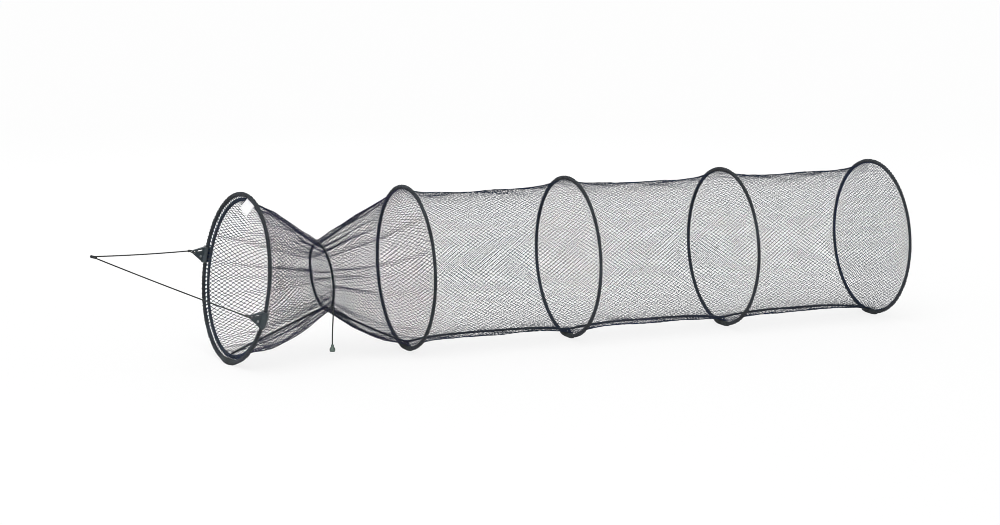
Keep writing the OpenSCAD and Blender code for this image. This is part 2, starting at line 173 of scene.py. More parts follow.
def make_camera():
    data = bpy.data.cameras.new("camera")
    camera = new_object("camera", data)
    data.lens, data.sensor_width = CAMERA_LENS, 36
    data.clip_start, data.clip_end = 0.05, 200
    ahead = Vector((
        math.sin(CAMERA_AZIMUTH) * math.cos(CAMERA_DOWN),
        math.cos(CAMERA_AZIMUTH) * math.cos(CAMERA_DOWN),
        -math.sin(CAMERA_DOWN),
    ))
    right = Vector((math.cos(CAMERA_AZIMUTH), -math.sin(CAMERA_AZIMUTH), 0))
    up = right.cross(ahead)
    c, s = math.cos(CAMERA_ROLL), math.sin(CAMERA_ROLL)
    x, y = c * right + s * up, c * up - s * right
    turn = Matrix((x, y, -ahead)).transposed().to_4x4()
    camera.matrix_world = Matrix.Translation(CAMERA_AT) @ turn
    bpy.context.scene.camera = camera


make_camera()


def set_inputs(node, **values):
    """Sets a node's inputs, named with _ for each space."""
    for key, value in values.items():
        node.inputs[key.replace("_", " ")].default_value = value


class Nodes:
    """A node material with one Principled shader, built up by its methods."""

    def __init__(self, name):
        self.material = bpy.data.materials.new(name)
        self.material.use_nodes = True
        self.tree = self.material.node_tree
        self.shader = self.tree.nodes["Principled BSDF"]
        self.place = self.add("ShaderNodeTexCoord").outputs["Object"]

    def add(self, kind, **values):
        node = self.tree.nodes.new(kind)
        for key, value in values.items():
            setattr(node, key, value)
        return node

    def link(self, a, b):
        self.tree.links.new(a, b)

    def noise(self, scale, detail=3.0, rough=0.55):
        node = self.add("ShaderNodeTexNoise")
        set_inputs(node, Scale=scale, Detail=detail, Roughness=rough)
        self.link(self.place, node.inputs["Vector"])
        return node.outputs["Fac"]

    def wave(self, scale, direction, distortion=0.0):
        node = self.add("ShaderNodeTexWave", bands_direction=direction)
        set_inputs(node, Scale=scale, Distortion=distortion)
        self.link(self.place, node.inputs["Vector"])
        return node.outputs["Fac"]

    def ramp(self, value, *stops):
        node = self.add("ShaderNodeValToRGB")
        points = node.color_ramp.elements
        while len(points) < len(stops):
            points.new(0.5)
        for point, (place, colour) in zip(points, stops):
            point.position = place
            point.color = (*colour, 1)
        self.link(value, node.inputs["Fac"])
        return node.outputs["Color"]

    def blend(self, share, a, b, kind="MIX"):
        node = self.add("ShaderNodeMix", data_type="RGBA", blend_type=kind)
        for socket, value in ((node.inputs[0], share), (node.inputs[6], a), (node.inputs[7], b)):
            if isinstance(value, bpy.types.NodeSocket):
                self.link(value, socket)
            else:
                socket.default_value = value
        return node.outputs[2]

    def colour(self, value):
        self.link(value, self.shader.inputs["Base Color"])

    def rough(self, value, low, high):
        node = self.add("ShaderNodeMapRange")
        set_inputs(node, To_Min=low, To_Max=high)
        self.link(value, node.inputs["Value"])
        self.link(node.outputs["Result"], self.shader.inputs["Roughness"])

    def bump(self, value, strength, depth):
        node = self.add("ShaderNodeBump")
        set_inputs(node, Strength=strength, Distance=depth)
        last = self.shader.inputs["Normal"]
        if last.is_linked:
            self.link(last.links[0].from_socket, node.inputs["Normal"])
        self.link(value, node.inputs["Height"])
        self.link(node.outputs["Normal"], last)


def twine_material(name, dark, light, tint, fibre=2600, sheen=0.12, shine=0.3):
    """Twisted or braided cord: slow changes of shade, fine fibres, a soft sheen."""
    m = Nodes(name)
    slow = m.ramp(m.noise(28, 2), (0.3, dark), (0.72, light))
    fine = m.noise(fibre, 2, 0.7)
    specks = m.ramp(fine, (0.35, (0.55, 0.55, 0.55)), (0.75, (1.25, 1.25, 1.25)))
    shaded = m.blend(1.0, slow, specks, "MULTIPLY")
    m.colour(m.blend(m.ramp(m.noise(9, 2), (0.45, (0, 0, 0)), (0.75, (1, 1, 1))), shaded, (*tint, 1)))
    m.rough(fine, 0.62, 0.86)
    m.bump(fine, 0.5, 0.0002)
    set_inputs(m.shader, Sheen_Weight=sheen, Sheen_Roughness=0.5, Specular_IOR_Level=shine)
    return m.material


def plastic_material(name, dark, light, worn):
    """Moulded plastic: faint flow marks, a fine grain, paler where it is rubbed."""
    m = Nodes(name)
    base = m.ramp(m.noise(60, 3), (0.32, dark), (0.7, light))
    rubbed = m.ramp(m.noise(170, 4, 0.65), (0.6, (0, 0, 0)), (0.78, (0.5, 0.5, 0.5)))
    m.colour(m.blend(rubbed, base, (*worn, 1)))
    grain = m.noise(1800, 2, 0.6)
    m.rough(m.noise(240, 3), 0.34, 0.5)
    m.bump(grain, 0.25, 0.00012)
    m.bump(m.noise(90, 2), 0.15, 0.0004)
    set_inputs(m.shader, Specular_IOR_Level=0.5)
    return m.material


def steel_material(name):
    """Dull, slightly scratched steel."""
    m = Nodes(name)
    m.colour(m.ramp(m.noise(420, 3), (0.3, (0.20, 0.21, 0.22)), (0.7, (0.34, 0.35, 0.36))))
    m.rough(m.wave(900, "DIAGONAL", 3.0), 0.26, 0.46)
    m.bump(m.wave(1500, "X", 2.0), 0.2, 0.00005)
    set_inputs(m.shader, Metallic=1.0)
    return m.material


def painted_material(name):
    """Dark paint on wire, a little uneven."""
    m = Nodes(name)
    m.colour(m.ramp(m.noise(130, 3), (0.3, (0.020, 0.024, 0.026)), (0.75, (0.05, 0.055, 0.058))))
    m.rough(m.noise(300, 2), 0.32, 0.5)
    m.bump(m.noise(700, 2), 0.2, 0.0001)
    return m.material


def cloth_material(name):
    """Bare woven label tape: fine crossing threads and a little unevenness."""
    m = Nodes(name)
    across, along = m.wave(620, "Y"), m.wave(620, "Z")
    weave = m.blend(0.5, across, along, "MULTIPLY")
    base = m.ramp(m.noise(90, 3), (0.3, (0.84, 0.84, 0.85)), (0.75, (0.93, 0.93, 0.935)))
    shade = m.ramp(weave, (0.1, (0.92, 0.92, 0.93)), (0.8, (1, 1, 1)))
    m.colour(m.blend(1.0, base, shade, "MULTIPLY"))
    m.rough(weave, 0.75, 0.92)
    m.bump(weave, 0.6, 0.0002)
    set_inputs(m.shader, Sheen_Weight=0.15)
    return m.material


NET = twine_material(
    "net_twine", (0.006, 0.015, 0.032), (0.018, 0.036, 0.072), (0.027, 0.036, 0.082),
    sheen=0.03, shine=0.15)
CONE_NET = twine_material(
    "cone_net_twine", (0.008, 0.013, 0.030), (0.023, 0.030, 0.062), (0.038, 0.034, 0.082),
    sheen=0.03, shine=0.15)
BINDING = twine_material(
    "binding_cord", (0.008, 0.011, 0.015), (0.022, 0.027, 0.034), (0.028, 0.034, 0.044))
ROPE = twine_material(
    "rope_cord", (0.014, 0.017, 0.021), (0.034, 0.041, 0.048), (0.042, 0.044, 0.054))
WHIPPING = twine_material(
    "whipping_thread", (0.010, 0.013, 0.015), (0.030, 0.038, 0.042), (0.045, 0.055, 0.058))
BRIDLE = twine_material(
    "bridle_cord", (0.013, 0.015, 0.015), (0.038, 0.041, 0.040), (0.055, 0.058, 0.056), fibre=3200)
CLIP = plastic_material(
    "clip_plastic", (0.015, 0.025, 0.030), (0.027, 0.040, 0.047), (0.10, 0.125, 0.135))
BEAD = plastic_material(
    "bead_plastic", (0.055, 0.082, 0.070), (0.11, 0.15, 0.13), (0.22, 0.27, 0.245))
STEEL = steel_material("rivet_steel")
ROD = painted_material("rod_paint")
CLOTH = cloth_material("label_cloth")
STITCH = twine_material(
    "label_stitch", (0.42, 0.42, 0.44), (0.6, 0.6, 0.62), (0.66, 0.66, 0.68))


def make_piece(name, parts, material, body, replaced=()):
    """One mesh object from parts, each (points, faces), riding on a body.
    Where body is None, the caller places the piece itself. What would lie under the floor is pressed flat on
    it."""
    points, faces, first = [], [], 0
    for part_points, part_faces in parts:
        points.append(np.asarray(part_points, float).reshape(-1, 3))
        faces.extend([v + first for v in face] for face in part_faces)
        first += len(points[-1])
    points = np.concatenate(points)
    points[:, 2] = np.maximum(points[:, 2], 0.0)
    mesh = bpy.data.meshes.new(name)
    mesh.from_pydata(points.tolist(), [], faces)
    mesh.materials.append(material)
    mesh.polygons.foreach_set("use_smooth", np.full(len(mesh.polygons), True))
    mesh.update()
    piece = new_object(name, mesh)
    if replaced:
        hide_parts(*replaced)
    if body:
        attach(piece, body)
    return piece


def wrap_faces(rows, sides, closed):
    """Quads of a tube of rows rings, each of that many sides."""
    count = rows if closed else rows - 1
    i, k = np.meshgrid(np.arange(count), np.arange(sides), indexing="ij")
    j, m = (i + 1) % rows, (k + 1) % sides
    quads = np.stack([i * sides + k, i * sides + m, j * sides + m, j * sides + k], -1)
    return quads.reshape(-1, 4).tolist()


def end_faces(rows, sides):
    """One face over each end of an open tube."""
    return [[*range(sides)][::-1], [*range((rows - 1) * sides, rows * sides)]]


def tube(path, radius, sides, closed=False, across=(0, 0, 1)):
    """A tube along path. radius is one number, one a ring, or one a point."""
    path = np.asarray(path, float)
    n = len(path)
    if closed:
        ahead = unit(np.roll(path, -1, 0) - np.roll(path, 1, 0))
    else:
        ahead = unit(np.gradient(path, axis=0))
    u = unit(np.cross(ahead, across))
    v = np.cross(ahead, u)
    w = np.arange(sides) * TURN / sides
    radius = np.asarray(radius, float)
    radius = np.broadcast_to(radius[:, None] if radius.ndim == 1 else radius, (n, sides))
    ring = np.cos(w)[:, None] * u[:, None] + np.sin(w)[:, None] * v[:, None]
    points = path[:, None] + radius[..., None] * ring
    return points, wrap_faces(n, sides, closed) + ([] if closed else end_faces(n, sides))


STRANDS = 3
ROPE_DEPTH = 0.16


def lay_relief(along, angle, pitch, depth):
    """Share of a rope's radius at a distance along it, for its laid strands."""
    phase = angle - TURN * along[:, None] / pitch
    return 1 - depth * (1 - np.abs(np.cos(STRANDS / 2 * phase)))


def rope(path, r, pitch, sides=12, closed=False, across=(0, 0, 1), depth=ROPE_DEPTH):
    """A laid rope along path, with its strands as ridges."""
    path = np.asarray(path, float)
    along = running(steps_along(path))
    if closed:
        total = along[-1] + np.linalg.norm(path[0] - path[-1])
        pitch = total / max(1, round(total / pitch))
    w = np.arange(sides) * TURN / sides
    return tube(path, r * lay_relief(along, w, pitch, depth), sides, closed, across)


def resampled(path, step):
    """The same line with points a step apart, smoothed through its points."""
    path = np.asarray(path, float)
    along = running(steps_along(path))
    fine = np.linspace(0, along[-1], max(3, round(along[-1] / step) + 1))
    tangent = np.gradient(path, along, axis=0)
    i = np.clip(np.searchsorted(along, fine, side="right") - 1, 0, len(path) - 2)
    h = (along[i + 1] - along[i])[:, None]
    t = (fine - along[i])[:, None] / h
    return ((2 * t**3 - 3 * t**2 + 1) * path[i] + (t**3 - 2 * t**2 + t) * h * tangent[i]
            + (3 * t**2 - 2 * t**3) * path[i + 1] + (t**3 - t**2) * h * tangent[i + 1])


# Bound hoops: turns of thread, each with its rows of points and the depth of
# the groove between two turns as a share of the radius
WIND_PITCH = 0.0034
WIND_STEPS = 6
WIND_SIDES = 12
WIND_DEPTH = 0.14
WIND_UNEVEN = 0.05
# The net's hitches on the hoops, and the gap they leave at the hoop's foot
LASH_R = 0.00062
LASH_GAP = math.radians(11)
# Whipping over the foot of a body hoop and of the mouth
FOOT_R, FOOT_PITCH, FOOT_DEPTH, FOOT_OUT = 0.0049, 0.0016, 0.10, 0.0006
FOOT_HALF = math.radians(10)
FOOT_SWELL = 0.0011
MOUTH_FOOT_R, MOUTH_FOOT_PITCH, MOUTH_FOOT_DEPTH = 0.0050, 0.0019, 0.12
MOUTH_FOOT = (math.radians(170), math.radians(194))
MOUTH_FOOT_SWELL = 0.0030


def wound_ring(ring, r, pitch, depth, seed, arc=(0, TURN), ring_r=None, swell=None):
    """Thread wound round a rod that runs round a ring: close turns, a little
    uneven. swell is the thickness it gains, a function of the share of its arc."""
    rng = np.random.default_rng(seed)
    ring_r = ring_r or ring.r
    whole = arc[1] - arc[0] > TURN - 1e-6
    turns = round((arc[1] - arc[0]) * ring_r / pitch)
    rows = turns * WIND_STEPS
    share = np.arange(rows) / rows if whole else np.linspace(0, 1, rows)
    th = arc[0] + (arc[1] - arc[0]) * share
    w = np.arange(WIND_SIDES) * TURN / WIND_SIDES
    phase = turns * share[:, None] + w / TURN
    ridge = 1 - depth * (1 - np.abs(np.sin(math.pi * phase)))
    uneven = 1 + WIND_UNEVEN * np.interp(
        np.arange(rows), np.arange(turns + 1) * WIND_STEPS, rng.standard_normal(turns + 1))
    if whole:
        uneven[-WIND_STEPS:] = np.linspace(uneven[-WIND_STEPS], uneven[0], WIND_STEPS)
    size = r * ridge * uneven[:, None]
    if swell is not None:
        size = size + swell(share)[:, None]
    points = ring.at(size * np.sin(w), ring_r + size * np.cos(w), th[:, None])
    return points, wrap_faces(rows, WIND_SIDES, whole) + ([] if whole else end_faces(rows, WIND_SIDES))


def lashings(ring, r, seed):
    """A turn of twine round a bound hoop at each mesh of the net."""
    rng = np.random.default_rng(seed)
    w = circle(12)
    parts = []
    for i in range(MESHES_ROUND):
        th = (i + 0.5 + rng.uniform(-0.18, 0.18)) * TURN / MESHES_ROUND
        slant = rng.uniform(-0.010, 0.010)
        if abs(th - math.pi) < LASH_GAP:
            continue
        size = r + 0.6 * LASH_R
        path = ring.at(size * np.sin(w), ring.r + size * np.cos(w), th + slant * np.sin(w))
        side = unit(ring.at(0, ring.r, th + 0.01) - ring.at(0, ring.r, th - 0.01))
        parts.append(tube(path, LASH_R, 5, True, side))
    return parts


def bound_hoop(name, ring, r, seed, lash_seed):
    """A hoop's cord binding with the net's hitches on it."""
    parts = [wound_ring(ring, r, WIND_PITCH, WIND_DEPTH, seed), *lashings(ring, r, lash_seed)]
    make_piece(f"{name}_cord_binding", parts, BINDING, name, [f"{name}_binding"])


def hoop_whipping(name, ring, seed):
    """Fine thread over the wire's joint, thickest in the middle, flat on the floor."""
    arc = (math.pi - FOOT_HALF, math.pi + FOOT_HALF)
    part = wound_ring(ring, FOOT_R, FOOT_PITCH, FOOT_DEPTH, seed, arc, ring_r=ring.r + FOOT_OUT,
                      swell=lambda s: FOOT_SWELL * np.sin(math.pi * s) ** 0.6)
    make_piece(f"{name}_whipping", [part], WHIPPING, name, [f"{name}_sleeve"])


for k, (hoop_name, hoop) in enumerate(zip(HOOPS, hoops)):
    bound_hoop(hoop_name, hoop, BIND_R if k < 3 else LAST_BIND_R, 11 + k, 61 + k)
    hoop_whipping(hoop_name, hoop, 31 + k)


# Netting. RIPPLE is the height of its slow waves, ROPE_PULL the angle over
# which it is drawn in to the seam rope.
RIPPLE = 0.0008
ROPE_PULL = 0.17
FOLD_APART = 0.12
KNOT_STRAY, KNOT_RISE, BAR_STRAY = 0.05, 0.00022, 0.00012
NET_OFF, NET_R = 0.0026, 0.1668


class Panel:
    """A stretch of net between two rings. radius is its outline, a function of
    the share s of the way. Folds are creases that run out from the neck."""

    def __init__(self, a, a_off, b, b_off, radius, sag=0.0, seed=0, folds=(), neck_end=1, rope=None):
        self.a, self.b, self.a_off, self.b_off = a, b, a_off, b_off
        self.radius, self.sag, self.neck_end, self.rope = radius, sag, neck_end, rope
        self.folds = np.array(sorted(folds)).reshape(-1, 3)
        rng = np.random.default_rng(seed)
        self.waves = [(m, rng.uniform(0, 6.28), rng.uniform(0, 6.28)) for m in (3, 5, 8, 13, 21)]

    def fold_depth(self, s, th):
        """How far the net lies inside its outline: round lobes between creases."""
        if not len(self.folds):
            return 0.0
        from_neck = 1 - s if self.neck_end else s
        at, deep, reach = self.folds.T
        k = np.searchsorted(at, th % TURN) - 1
        m = (k + 1) % len(at)
        wide = (at[m] - at[k]) % TURN
        u = ((th - at[k]) % TURN) / wide
        depth = [deep[i] * np.clip(1 - from_neck / reach[i], 0, 1) ** 0.85 for i in (k, m)]
        return mix(depth[0], depth[1], u) * (1 - np.sin(math.pi * np.clip(u, 0, 1)) ** 0.8)

    def packed(self, s, th):
        """How closely the meshes lie together: more so in the creases."""
        if not len(self.folds):
            return 1.0
        at, deep, reach = (v[:, None] for v in self.folds.T)
        away = wrapped(th - at)
        from_neck = 1 - s if self.neck_end else s
        pull = np.clip((deep - 0.007) / 0.005, 0, 1.3) * np.clip(1.15 - from_neck / reach, 0, 1)
        return 1 + GATHER * (pull * np.exp(-((away / GATHER_WIDTH) ** 2))).sum(0)

    def creased(self, s, th):
        """The outline's radius less its creases and the pull of the seam rope."""
        r = self.radius(s) - self.fold_depth(s, th) + 0 * th
        if self.rope is not None:
            at, rope_r = self.rope(s)
            away = np.abs(wrapped(th - at))
            r = r - (r - rope_r) * np.exp(-((away / ROPE_PULL) ** 1.1))
        return r

    def at(self, s, th):
        """Points of the net at the share s of the way and the angle th."""
        ripple = sum(np.sin(m * th + p) * np.sin((1.5 + m / 4) * math.pi * s + q) for m, p, q in self.waves)
        hold = np.clip(np.minimum(s, 1 - s) * 8, 0, 1)
        r = self.creased(s, th) + RIPPLE * ripple * hold
        c = mix(self.a.centre, self.b.centre, s[..., None])
        p = np.stack([mix(self.a_off, self.b_off, s), r * np.sin(th), r * np.cos(th)], -1)
        p = turned(p, mix(self.a.lean, self.b.lean, s), mix(self.a.turn, self.b.turn, s))
        drop = self.sag * np.sin(math.pi * s)
        return c + p - drop[..., None] * UP

    def spread(self, s, shares):
        """Angles that part the net's edge at s by equal numbers of meshes, and its length."""
        th = np.linspace(0, TURN, 12 * MESHES_ROUND + 1)
        r = self.creased(np.full_like(th, s), th)
        edge = np.stack([r * np.sin(th), r * np.cos(th)], -1)
        steps = steps_along(edge)
        net = running(steps * (self.packed(s, th) * np.ones_like(th))[1:])
        return np.interp(shares * net[-1], net, th), steps.sum()


def row_places(panel, bar):
    """Places of the net's rows, closer together where the meshes are wide."""
    s = np.linspace(0, 1, 201)
    lines = [panel.at(s, np.full_like(s, th)) for th in (0.8, 2.3, 3.9, 5.4)]
    steps = sum(steps_along(line) for line in lines) / len(lines)
    half_width = np.array([panel.spread(v, np.zeros(1))[1] for v in s]) / (2 * MESHES_ROUND)
    step = np.sqrt(np.maximum(bar**2 - half_width**2, (0.3 * bar) ** 2))
    count = running(steps / ((step[1:] + step[:-1]) / 2))
    rows = 2 * round(count[-1] / 2)
    return np.interp(np.linspace(0, count[-1], rows + 1), count, s)


def net_part(panel, places, width, first, last, seed):
    """A stretch of net, rows first to last, as one closed lattice. A knot has
    a point outside, one inside and one in each of the four corners between
    its bars. A bar is four-sided, with a thinner ring at its middle."""
    rng = np.random.default_rng(seed)
    n, rows = MESHES_ROUND, len(places)
    wide = mix(width[0], width[1], places)[:, None]
    j, i = np.meshgrid(np.arange(rows), np.arange(n), indexing="ij")
    s = places[j] + 0 * i
    th = np.array([panel.spread(v, (np.arange(n) + k % 2 / 2) / n)[0] for k, v in enumerate(places)])
    inner = ((j > 0) & (j < rows - 1)).astype(float)
    th = th + inner * rng.normal(0, KNOT_STRAY, th.shape) * TURN / n
    step = np.gradient(places)[j]
    s = s + inner * rng.normal(0, KNOT_STRAY, th.shape) * step
    knot = panel.at(s, th)
    e = 1e-3
    u = unit(panel.at(s, th + e) - panel.at(s, th - e))
    w = unit(panel.at(np.clip(s + e, 0, 1), th) - panel.at(np.clip(s - e, 0, 1), th))
    out = unit(np.cross(u, w))
    w = np.cross(out, u)
    knot = knot + (inner * rng.normal(0, KNOT_RISE, th.shape))[..., None] * out
    half_u = np.linalg.norm(np.roll(knot, -1, 1) - knot, axis=-1) / 2
    gap = np.linalg.norm(np.diff(knot, axis=0), axis=-1).mean(1)
    half_w = np.sqrt(np.maximum(np.interp(np.arange(rows), np.arange(rows - 1) + 0.5, gap) ** 2
                                - half_u.mean(1) ** 2, 1e-8))[:, None] + 0 * half_u
    slope = np.arctan2(half_u, half_w)
    reach_w = np.minimum(0.62 * wide / np.sin(slope), 0.42 * half_w)[..., None]
    reach_u = np.minimum(0.62 * wide / np.cos(slope), 0.42 * half_u)[..., None]
    high = KNOT_HIGH * wide[..., None]
    corners = np.stack([knot + high * out, knot - high * out, knot + reach_w * w,
                        knot - reach_w * w, knot + reach_u * u, knot - reach_u * u], 2)
    top, low, fore, back, up, down = range(6)
    rows_used = np.arange(first, last + 1)
    corners = corners[rows_used]
    used = len(rows_used)
    points = [corners.reshape(-1, 3)]
    j, i = np.meshgrid(np.arange(used - 1), np.arange(n), indexing="ij")
    odd = (j + first) % 2

    def at(jj, ii, k):
        return (jj * n + ii % n) * 6 + k

    faces = []
    base = used * n * 6
    for side in (0, 1):
        ii = i + odd - side
        start = [at(j, i, k) for k in ((top, fore, low, up), (top, down, low, fore))[side]]
        end = [at(j + 1, ii, k) for k in ((top, down, low, back), (top, back, low, up))[side]]
        a, b = knot[rows_used][j, i], knot[rows_used][j + 1, ii % n]
        normal = unit(out[rows_used][j, i] + out[rows_used][j + 1, ii % n])
        right = unit(np.cross(b - a, normal))
        middle = (a + b) / 2 + rng.normal(0, BAR_STRAY, a.shape)
        bar = wide[rows_used][:-1, :, None]
        ring = np.stack([middle + BAR_HIGH * bar * normal, middle + 0.5 * bar * right,
                         middle - BAR_HIGH * bar * normal, middle - 0.5 * bar * right], 2)
        points.append(ring.reshape(-1, 3))
        mid = [base + (j * n + i) * 4 + k for k in range(4)]
        base += (used - 1) * n * 4
        for k in range(4):
            m = (k + 1) % 4
            faces.append(np.stack([start[k], start[m], mid[m], mid[k]], -1).reshape(-1, 4))
            faces.append(np.stack([mid[k], mid[m], end[m], end[k]], -1).reshape(-1, 4))
    faces = np.concatenate(faces).tolist()
    i = np.arange(n)
    for row, loops in ((0, ((top, up, back), (up, low, back), (low, down, back), (down, top, back))),
                       (used - 1, ((top, fore, up), (up, fore, low), (low, fore, down), (down, fore, top)))):
        for loop in loops:
            faces += np.stack([at(row, i, k) for k in loop], -1).tolist()
    return np.concatenate(points), faces


def follow(piece, bodies):
    """Puts a bay's piece on its first hoop, with its own copy of the mesh, and bakes a cone's piece into its
    place."""
    if bodies[0] in HOOPS:
        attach(piece, bodies[0])
        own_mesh(piece)
    else:
        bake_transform(piece)


def hang_net(where, panel, width, bodies, seed):
    """A panel's net, which is two pieces in a bay, because of its many faces."""
    places = row_places(panel, BAR_LENGTH)
    last = len(places) - 1
    bay = bodies[0] in HOOPS
    ends = [0, last // 2, last] if bay else [0, last]
    for k, (first, end) in enumerate(zip(ends, ends[1:])):
        part = net_part(panel, places, width, first, end, seed)
        name = f"netting_{where}_{'ab'[k]}" if bay else f"netting_{where}"
        piece = make_piece(name, [part], NET if bay else CONE_NET, None, [f"net_{where}"])
        follow(piece, bodies)


def outline(*table):
    """A smooth radius through a short table of (share of the way, radius in mm)."""
    s, r = np.array(table).T
    return np.polynomial.Polynomial.fit(s, r / 1000, 5)


def fold_set(fixed, count, seed):
    """Creases round the neck: those seen in front, and others spread between."""
    rng = np.random.default_rng(seed)
    folds = [(math.radians(at), deep, reach) for at, deep, reach in fixed]
    for k in range(count):
        at = (k + rng.uniform(-0.28, 0.28)) * TURN / count % TURN
        if min(abs(wrapped(at - f[0])) for f in folds) > FOLD_APART:
            folds.append((at, rng.uniform(0.008, 0.0125), rng.uniform(0.7, 1.15)))
    return folds


def straight_rope(a, a_off, a_th, a_r, b, b_off, b_th, b_r, sag=0.0):
    """The line of a seam rope between two rings, and its place in their
    panel as an angle and a radius."""
    start, end = a.at(a_off, a_r, a_th), b.at(b_off, b_r, b_th)

    def line(s):
        drop = 4 * sag * s * (1 - s)
        return mix(start, end, s[..., None]) - drop[..., None] * UP

    def place(s):
        p = line(s) - mix(a.centre, b.centre, s[..., None])
        lean, turn = mix(a.lean, b.lean, s), mix(a.turn, b.turn, s)
        x = p[..., 0] * np.cos(turn) + p[..., 1] * np.sin(turn)
        y = p[..., 1] * np.cos(turn) - p[..., 0] * np.sin(turn)
        z = p[..., 2] * np.cos(lean) + x * np.sin(lean)
        return np.arctan2(y, z), np.hypot(y, z) + SEAM_R

    return line, place


# The two cones. Their seam rope runs straight from the hem to the neck and the
# first body hoop, and the net hangs below it. The creases listed are seen in
# front, each with its angle in degrees, its depth and its reach.
HEM_NET_OFF, HEM_NET_R = HEM_BACK + 0.0029, mouth.r - HEM_IN - 0.0016
SEAM_START, SEAM_NECK = math.radians(180), math.radians(183)
SEAM_HEM_R = mouth.r - HEM_IN - 0.0045
SEAM_NECK_R = neck.r - 0.0075
SEAM_HOOP_R = hoops[0].r - 0.0115
MOUTH_SAG, THROAT_SAG, THROAT_ROPE_SAG = 0.0045, 0.009, 0.004
OTHER_FOLDS = 22
mouth_line, mouth_rope = straight_rope(mouth, HEM_BACK, SEAM_START, SEAM_HEM_R,
                                       neck, 0.0, SEAM_NECK, SEAM_NECK_R)
throat_line, throat_rope = straight_rope(neck, 0.0, SEAM_NECK, SEAM_NECK_R,
                                         hoops[0], 0.0, math.pi, SEAM_HOOP_R, THROAT_ROPE_SAG)
mouth_net = Panel(
    mouth, HEM_NET_OFF, neck, -0.0012,
    outline((0, HEM_NET_R * 1000), (0.12, 155), (0.28, 149), (0.39, 141), (0.51, 131), (0.62, 119),
            (0.74, 105.5), (0.86, 91.5), (0.95, 82), (1, 77.5)),
    sag=MOUTH_SAG, seed=3, neck_end=1, rope=mouth_rope,
    folds=fold_set([(287, 0.013, 1.25), (277, 0.011, 1.0), (252, 0.013, 1.2), (306, 0.009, 1.2),
                    (64, 0.012, 1.2)], OTHER_FOLDS, 5))
throat_net = Panel(
    neck, 0.0012, hoops[0], -NET_OFF,
    outline((0, 77.5), (0.07, 84), (0.21, 101), (0.33, 114), (0.45, 125.5), (0.57, 135.5), (0.69, 144),
            (0.81, 151.5), (0.93, 160), (1, NET_R * 1000)),
    sag=THROAT_SAG, seed=4, neck_end=0, rope=throat_rope,
    folds=fold_set([(318, 0.016, 1.3), (290, 0.013, 1.2), (280, 0.010, 0.9), (262, 0.012, 1.05)],
                   OTHER_FOLDS, 6))
hang_net("mouth", mouth_net, (MOUTH_BAR_WIDTH, CONE_BAR_WIDTH), ("mouth", "neck"), 61)
hang_net("throat", throat_net, (CONE_BAR_WIDTH, CONE_BAR_WIDTH), ("neck", "hoop_1"), 62)

# The three bays: how far net and rope draw in between two hoops, and how far
# the rope runs down to the last hoop
BAY_DRAW, BAY_SAG, SEAM_RISE = 0.0120, 0.0025, 0.0122
LAST_DROP = 0.0075


def bay_radius(s):
    return NET_R - BAY_DRAW * (1 - np.abs(2 * s - 1) ** 5)


def bay_seam_radius(s):
    return SEAM_HOOP_R - SEAM_RISE * (1 - np.abs(2 * s - 1) ** 3)


def last_seam_radius(s):
    """At the closed end the rope runs down to the hoop and is bound in."""
    return bay_seam_radius(s) + LAST_DROP * s**6


def bay_rope(s):
    return math.pi, bay_seam_radius(s) + SEAM_R


for k in range(3):
    bay = Panel(hoops[k], NET_OFF, hoops[k + 1], -NET_OFF, bay_radius, BAY_SAG, 7 + k, rope=bay_rope)
    hang_net(f"bay_{k + 1}", bay, (BAR_WIDTH, BAR_WIDTH), (HOOPS[k], HOOPS[k + 1]), 63 + k)


# Flat net across the closed end
END_MESH_Y, END_MESH_Z = 0.0132, 0.0068
END_TWINE_R = 0.00046
END_IN = 0.0036
END_LIFT, END_BULGE, END_STRAY = 0.0004, 0.0035, 0.00035
END_RIM_R, END_RIM_PITCH = 0.0017, 0.012
SHORTEST = 0.01


def end_netting():
    """Two sets of parallel twines that pass over and under, and a rim cord."""
    ring = hoops[3]
    r = ring.r - END_IN
    bar = math.hypot(END_MESH_Y, END_MESH_Z)
    apart = END_MESH_Y * END_MESH_Z / bar
    rng = np.random.default_rng(81)
    parts = []
    for side in (-1, 1):
        along = np.array([END_MESH_Y, side * END_MESH_Z]) / bar
        across = np.array([-along[1], along[0]])
        lines = int(r / apart)
        for k in range(-lines, lines + 1):
            reach = math.sqrt(max(r**2 - (k * apart) ** 2, 0))
            if reach < SHORTEST:
                continue
            steps = max(4, int(2 * reach / (bar / 2)))
            t = np.linspace(-reach, reach, 2 * steps + 1)
            line = k * apart * across + t[:, None] * along
            lift = END_LIFT * side * np.cos(TURN * t / bar + math.pi * k)
            bulge = END_BULGE * (1 - (line**2).sum(1) / r**2)
            wander = np.interp(t, np.linspace(-reach, reach, 7), rng.normal(0, END_STRAY, 7))
            path = np.column_stack([bulge + lift, line + wander[:, None] * across])
            parts.append(tube(ring.centre + path, END_TWINE_R, 4, False, (1, 0, 0)))
    w = circle(360)
    parts.append(rope(ring.at(0.0, r, w), END_RIM_R, END_RIM_PITCH, 8, True, (1, 0, 0)))
    make_piece("netting_end", parts, NET, "hoop_4", ["end_net"])


end_netting()


KNOT_PITCH, KNOT_DEPTH = 0.006, 0.14


def knot_part(centre, size, r):
    """An overhand knot: a rope along a trefoil."""
    t = circle(90)
    p = np.stack([np.sin(t) + 2 * np.sin(2 * t), np.cos(t) - 2 * np.cos(2 * t), -1.4 * np.sin(3 * t)], -1)
    p = p * size / 6
    p = np.stack([p[:, 2], p[:, 0], p[:, 1]], -1)
    return rope(np.asarray(centre) + p, r, KNOT_PITCH, 8, True, (0.3, 0.2, 1), KNOT_DEPTH)


